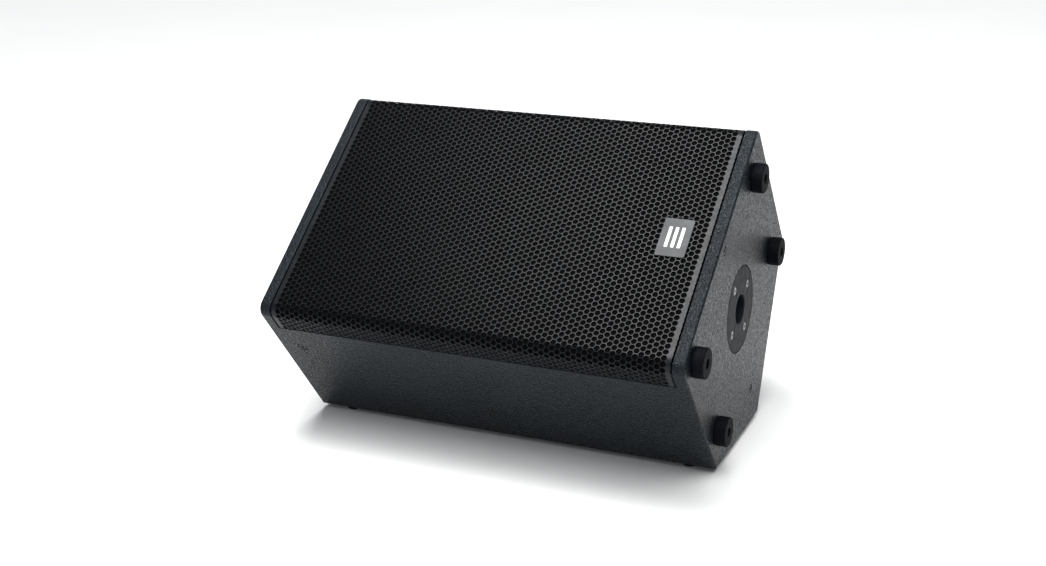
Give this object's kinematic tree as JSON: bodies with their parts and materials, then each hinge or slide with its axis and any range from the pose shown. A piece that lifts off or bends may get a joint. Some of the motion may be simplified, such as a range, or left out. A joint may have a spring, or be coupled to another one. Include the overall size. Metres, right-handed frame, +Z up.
{
  "type": "stage monitor wedge",
  "caption": "Five-sided stage monitor loudspeaker with a wrapped perforated grille, pole socket, rubber feet and a two-way driver set.",
  "frame": {"origin": "on the floor under the middle of the bounding box, lying on its slanted monitor face", "axes": "+X along the cabinet towards the end with the feet and pole socket, +Y away from the listener, +Z up"},
  "size_m": [0.575, 0.4176, 0.399],
  "materials": {
    "cabinet_paint": "black textured cabinet paint on birch plywood",
    "bare_wood": "bare birch plywood",
    "grille_paint": "black powder coat on perforated steel",
    "foam": "open acoustic foam, black",
    "zinc_steel": "zinc plated",
    "black_screws": "black oxide",
    "black_plastic": "moulded, fine texture",
    "badge_metal": "satin silver",
    "flange_cast": "smooth black powder coat",
    "rubber": "matt black rubber",
    "dish_steel": "black powder coat",
    "socket_blue": "dark blue moulded plastic",
    "basket_cast": "die-cast, black paint",
    "gasket_rubber": "doped cloth and rubber",
    "cone_paper": "pressed paper, black",
    "coil_kapton": "amber film",
    "copper": "enamelled copper wire",
    "spider_cloth": "treated cloth",
    "plate_steel": "plated steel",
    "ferrite": "ferrite ring",
    "dome_aluminium": "thin formed metal",
    "board_green": "glass-fibre board",
    "capacitor_yellow": "film capacitor",
    "resistor_ceramic": "ceramic block",
    "lead_red": "PVC insulated wire",
    "wool": "polyester wool"
  },
  "bodies": {
    "cabinet": {"left_end_panel": "cabinet_paint", "right_end_panel": "cabinet_paint", "near_side_panel": "cabinet_paint", "far_side_panel": "cabinet_paint", "monitor_panel": "cabinet_paint", "rear_panel": "cabinet_paint", "baffle": "cabinet_paint", "baffle_battens": "bare_wood", "window_brace": "bare_wood", "grille": "grille_paint", "grille_foam": "foam", "grille_studs": "rubber", "grille_catches": "black_plastic", "badge": "badge_metal", "pole_flange": "flange_cast", "pole_flange_screws": "zinc_steel", "end_feet": "rubber", "end_feet_screws": "black_screws", "floor_feet": "rubber", "floor_feet_screws": "zinc_steel", "rigging_inserts": "zinc_steel", "rigging_screws": "black_screws", "handle_cup": "black_plastic", "handle_bar": "black_plastic", "handle_screws": "black_screws", "connector_dish": "dish_steel", "dish_screws": "black_screws", "input_socket": "socket_blue", "link_socket": "socket_blue", "socket_screws": "zinc_steel", "woofer_basket": "basket_cast", "woofer_gasket": "gasket_rubber", "woofer_surround": "gasket_rubber", "woofer_spider": "spider_cloth", "woofer_top_plate": "plate_steel", "woofer_magnet": "ferrite", "woofer_back_plate": "plate_steel", "basket_bolts": "zinc_steel", "woofer_screws": "black_screws", "horn": "black_plastic", "horn_screws": "black_screws", "port_tube_near": "black_plastic", "port_tube_far": "black_plastic", "hf_front_plate": "plate_steel", "hf_magnet": "ferrite", "hf_back_plate": "plate_steel", "hf_cover": "black_plastic", "hf_screws": "zinc_steel", "crossover_board": "board_green", "crossover_coils": "copper", "crossover_capacitors": "capacitor_yellow", "crossover_resistors": "resistor_ceramic", "crossover_mounts": "zinc_steel", "crossover_leads": "lead_red", "damping_wool": "wool"},
    "cone_assembly": {"woofer_cone": "cone_paper", "woofer_dust_cap": "cone_paper", "coil_former": "coil_kapton", "coil_winding": "copper"},
    "dome": {"hf_diaphragm": "dome_aluminium"}
  },
  "joints": [
    {"name": "cone_stroke", "type": "slide", "parent": "cabinet", "child": "cone_assembly", "axis": [0, -0.5965, 0.8026], "range_m": [-0.006, 0.006], "stiffness_N_per_m": 5000, "deforming": ["woofer_surround", "woofer_spider"]},
    {"name": "dome_stroke", "type": "slide", "parent": "cabinet", "child": "dome", "axis": [0, -0.5965, 0.8026], "range_m": [-0.0003, 0.0003], "stiffness_N_per_m": 10000}
  ]
}
